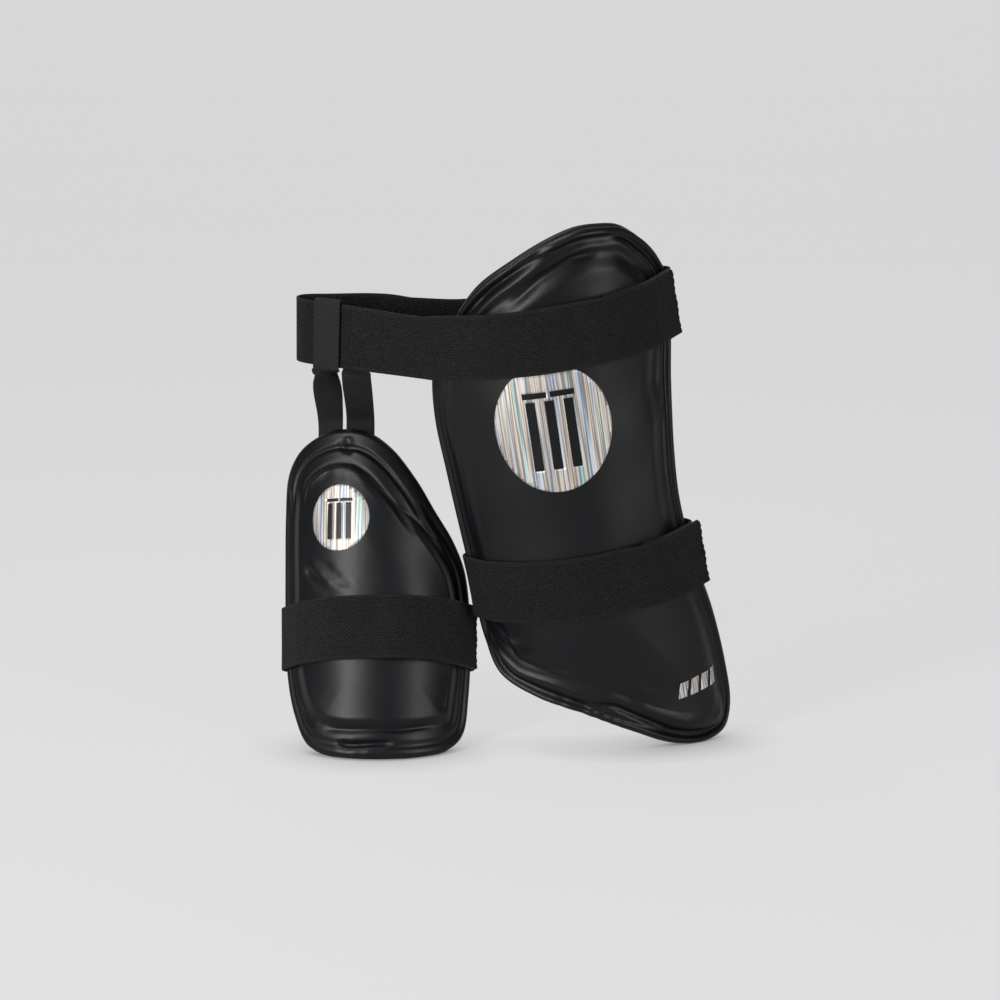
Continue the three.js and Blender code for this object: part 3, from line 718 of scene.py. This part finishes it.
for name, node, tape_node, guard, pieces, height, wide, dip, overlap in (
    ("outer_strap", "outer_thigh_strap", "outer_strap_hook_tape", outer_guard,
     (outer_cover, outer_lining), 0.1512, 0.049, 0, 0.042),
    ("inner_strap", "inner_thigh_strap", "inner_strap_hook_tape", inner_guard,
     (inner_cover, inner_lining), 0.098, 0.048, 0.006, 0.054),
):
    halves = ((height - wide / 2, height), (height, height + wide / 2))
    loops = [started(round_guard(pieces, guard, *half), STRAP_STARTS * guard["half"])
             for half in halves]
    girth = np.linalg.norm(np.diff(loops[0], axis=0), axis=1).sum()
    steps = round(girth / STRAP_STEP)
    bands = [lapped(loop, steps, girth, overlap) for loop in loops]
    bands = [line + outwards(line) * ELASTIC / 2 for line in bands]
    edges = strap_edges(guard, bands, height, wide, dip)
    strap = strap_piece(name, *edges, ELASTIC, elastic, fray=ELASTIC_FRAY)
    edges = strap_edges(guard, [taped(line) for line in bands], height, wide, dip)
    tape = strap_piece(name + "_tape", *edges, TAPE, hook_tape, fray=TAPE_FRAY)
    for piece, cad, finish in ((strap, node, "elastic"), (tape, tape_node, "hook_tape")):
        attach(piece, "root")
        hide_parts(cad)

# Waist belt. The same elastic, wrapped tight round the outer guard's top; it runs free to the
# left, folds back on itself where it would go round the waist, and returns behind the guard.

BELT = {"height": 0.3436, "wide": 0.049, "reach": 0.08, "rise": 0.015, "fold": 0.009,
        "deep": 0.104, "leaves": 45, "overlap": 0.056, "rights": 10.5, "softened": 24}


def belt_line(loop, guard):
    """The guard's tight line with the belt's free stretch out to its fold and back."""
    start = STRAP_STARTS * guard["half"]
    fold = np.array((-guard["half"] - BELT["reach"], BELT["deep"]))
    behind = started(tight_line(np.vstack((loop, ringed([fold], BELT["fold"])))), start)
    near = np.linalg.norm(behind - fold, axis=1) < BELT["fold"] + 0.0004
    on_guard = started(loop, start)
    way = np.diff(on_guard, axis=0)
    steep = np.degrees(np.arctan2(-way[:, 1], way[:, 0])) > BELT["leaves"]
    leaves = np.nonzero(steep)[0][-1] + 1
    return np.vstack((behind[:np.nonzero(near)[0][-1] + 1], on_guard[leaves:]))


def belt_edge(line, side, guard, thickness):
    """An edge of the belt, square to the guard on it and upright at the fold.

    The stretch behind the guard is a little slack, so it sags.
    """
    line = line + outwards(line) * thickness
    share = np.clip((-guard["half"] - line[:, 0]) / BELT["reach"], 0, None)
    upright = np.minimum(share, 1) ** 2 * (3 - 2 * np.minimum(share, 1))
    tilt = upright * math.radians(BELT["rights"])
    off = side * BELT["wide"] / 2
    slack = moulded(line[:, 0], ((-0.18, 0), (-0.12, 0.003), (-0.055, -0.006), (0.01, -0.004),
                                 (0.07, 0)))
    slack = slack * np.clip(outwards(line)[:, 1], 0, 1)
    local = np.column_stack((line[:, 0] + off * np.sin(tilt), line[:, 1],
                             BELT["height"] + off * np.cos(tilt) + BELT["rise"] * share + slack))
    place = np.array(guard["place"])
    return local @ place[:3, :3].T + place[:3, 3]


def eased(line, guard):
    """A line with its bend beside the guard drawn out into a soft curve."""
    free = (line[:, 0] < -0.6 * guard["half"])[:, None]
    for turn in range(BELT["softened"]):
        mean = (np.roll(line, 1, axis=0) + 2 * line + np.roll(line, -1, axis=0)) / 4
        mean[0], mean[-1] = line[0], line[-1]
        line = np.where(free, mean, line)
    return line


halves = ((BELT["height"] - BELT["wide"] / 2, BELT["height"]),
          (BELT["height"], BELT["height"] + BELT["wide"] / 2))
loops = [belt_line(round_guard((outer_cover, outer_lining), outer_guard, *half), outer_guard)
         for half in halves]
girth = np.linalg.norm(np.diff(loops[0], axis=0), axis=1).sum()
bands = [lapped(loop, round(girth / STRAP_STEP), girth, BELT["overlap"]) for loop in loops]
bands = [eased(line, outer_guard) for line in bands]
edges = [belt_edge(line, side, outer_guard, ELASTIC / 2) for side, line in zip((-1, 1), bands)]
belt = strap_piece("belt", *edges, ELASTIC, elastic, fray=ELASTIC_FRAY)
backs = [taped(line + outwards(line) * ELASTIC / 2) for line in bands]
edges = [belt_edge(line, side, outer_guard, 0) for side, line in zip((-1, 1), backs)]
belt_tape = strap_piece("belt_tape", *edges, TAPE, hook_tape, fray=TAPE_FRAY)
for piece, cad, finish in ((belt, "waist_belt", "elastic"),
                           (belt_tape, "waist_belt_hook_tape", "hook_tape")):
    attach(piece, "root")
    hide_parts(cad)

# Hanger loop. Black twill webbing, sewn to the inner guard's lining at both ends and looped over
# the belt near its fold, so that the inner guard hangs from the belt.

hanger_mesh = bmesh.new()
hanger_mesh.from_mesh(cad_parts["hanger_loop"].data)
bmesh.ops.remove_doubles(hanger_mesh, verts=hanger_mesh.verts, dist=1e-6)
bmesh.ops.join_triangles(hanger_mesh, faces=hanger_mesh.faces, angle_face_threshold=0.6,
                         angle_shape_threshold=1.6)
sharp = hanger_mesh.edges.layers.float.new("crease_edge")
for edge in hanger_mesh.edges:
    edge[sharp] = 0.9 if edge.calc_face_angle(0) > 0.9 else 0
hanger = made_piece("hanger", hanger_mesh)
rounded = hanger.modifiers.new("rounding", "SUBSURF")
rounded.levels = 3
rounded.render_levels = 3

webbing, nodes, links, shader = new_finish("twill webbing")
shader.inputs["Roughness"].default_value = 0.85
shader.inputs["Specular IOR Level"].default_value = 0.25
where = node_of(nodes, "TexCoord")
slant = node_of(nodes, "Mapping", {"Rotation": (0, math.radians(38), 0)})
links.new(where.outputs["Object"], slant.inputs["Vector"])
twill = node_of(nodes, "TexWave", {"Scale": 160, "Distortion": 0.6, "Detail": 1})
twill.bands_direction = "X"
links.new(slant.outputs["Vector"], twill.inputs["Vector"])
shade = node_of(nodes, "MapRange", {"To Min": 0.0020, "To Max": 0.0075})
links.new(twill.outputs["Fac"], shade.inputs["Value"])
links.new(shade.outputs["Result"], shader.inputs["Base Color"])
ridges = node_of(nodes, "Bump", {"Strength": 0.7, "Distance": 0.0005})
links.new(twill.outputs["Fac"], ridges.inputs["Height"])
links.new(ridges.outputs["Normal"], shader.inputs["Normal"])
hanger.data.materials.append(webbing)
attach(hanger, "root")
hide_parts("hanger_loop")

# Studio. A pale paper sweep under and behind the guard, one seamless sheet bent up at the back,
# with a painted contact shadow that dims its glow where something stands on it. Three soft
# boxes light the guard.

half_wide, front, turn_at, bend, top = 5, -0.8, 2.6, 0.8, 5.0
below = 0.0004
sweep = bmesh.new()
row = [sweep.verts.new((x, front, -below)) for x in (-half_wide, half_wide)]
run = [sweep.edges.new(row)]
turns = [math.radians(a) for a in range(10, 91, 10)]
profile = [(turn_at, 0.0)]
profile += [(turn_at + bend * math.sin(a), bend - bend * math.cos(a)) for a in turns]
profile.append((turn_at + bend, top))
for y, z in profile:
    row, run = drawn_on(sweep, row, run)
    for vert in row:
        vert.co.y = y
        vert.co.z = z - below
bmesh.ops.recalc_face_normals(sweep, faces=sweep.faces)
studio_sweep = made_piece("studio_sweep", sweep)
paper, nodes, links, shader = new_finish("pale paper")
shader.inputs["Base Color"].default_value = (0.06, 0.06, 0.06, 1)
shader.inputs["Roughness"].default_value = 0.9
shader.inputs["Specular IOR Level"].default_value = 0.1
shader.inputs["Emission Color"].default_value = (1, 1, 1, 1)
# Painted contact shadow: ambient occlusion dims the sweep's glow near whatever stands on it.
shaded = node_of(nodes, "AmbientOcclusion", {"Distance": 0.05})
shaded.samples = 8
shadowed_glow = node_of(nodes, "MapRange", {"To Min": 0.16, "To Max": 0.64})
links.new(shaded.outputs["AO"], shadowed_glow.inputs["Value"])
links.new(shadowed_glow.outputs["Result"], shader.inputs["Emission Strength"])
studio_sweep.data.materials.append(paper)

world = bpy.data.worlds.new("studio air")
bpy.context.scene.world = world
world.use_nodes = True
air = world.node_tree.nodes["Background"]
air.inputs["Color"].default_value = (1, 1, 1, 1)
air.inputs["Strength"].default_value = 0.05

AIM = Vector((-0.0050, -0.0077, 0.191))


def soft_box(name, place, size, power):
    """A soft light with a rectangular face, aimed at the guard."""
    lamp = bpy.data.lights.new(name, "AREA")
    lamp.shape = "RECTANGLE"
    lamp.size, lamp.size_y = size
    lamp.energy = power
    box = bpy.data.objects.new(name, lamp)
    box.location = place
    box.rotation_euler = (AIM - Vector(place)).to_track_quat("-Z", "Y").to_euler()
    bpy.context.scene.collection.objects.link(box)


soft_box("left box", (-1.20, -1.50, 0.75), (0.34, 1.7), 66)
soft_box("right box", (1.35, -1.35, 0.72), (0.28, 1.6), 30)
soft_box("overhead", (-0.6, 0.1, 2.0), (1.2, 0.7), 22)

distance = 2.5
view = bpy.data.cameras.new("view")
view.sensor_fit = "HORIZONTAL"
view.sensor_width = 36
view.lens = 120
camera = bpy.data.objects.new("camera", view)
tilt = math.radians(10.5)
camera.location = AIM + distance * Vector((0, -math.cos(tilt), math.sin(tilt)))
camera.rotation_euler = (math.radians(90) - tilt, 0, 0)
bpy.context.scene.collection.objects.link(camera)
bpy.context.scene.camera = camera
bpy.context.scene.view_settings.view_transform = "Standard"
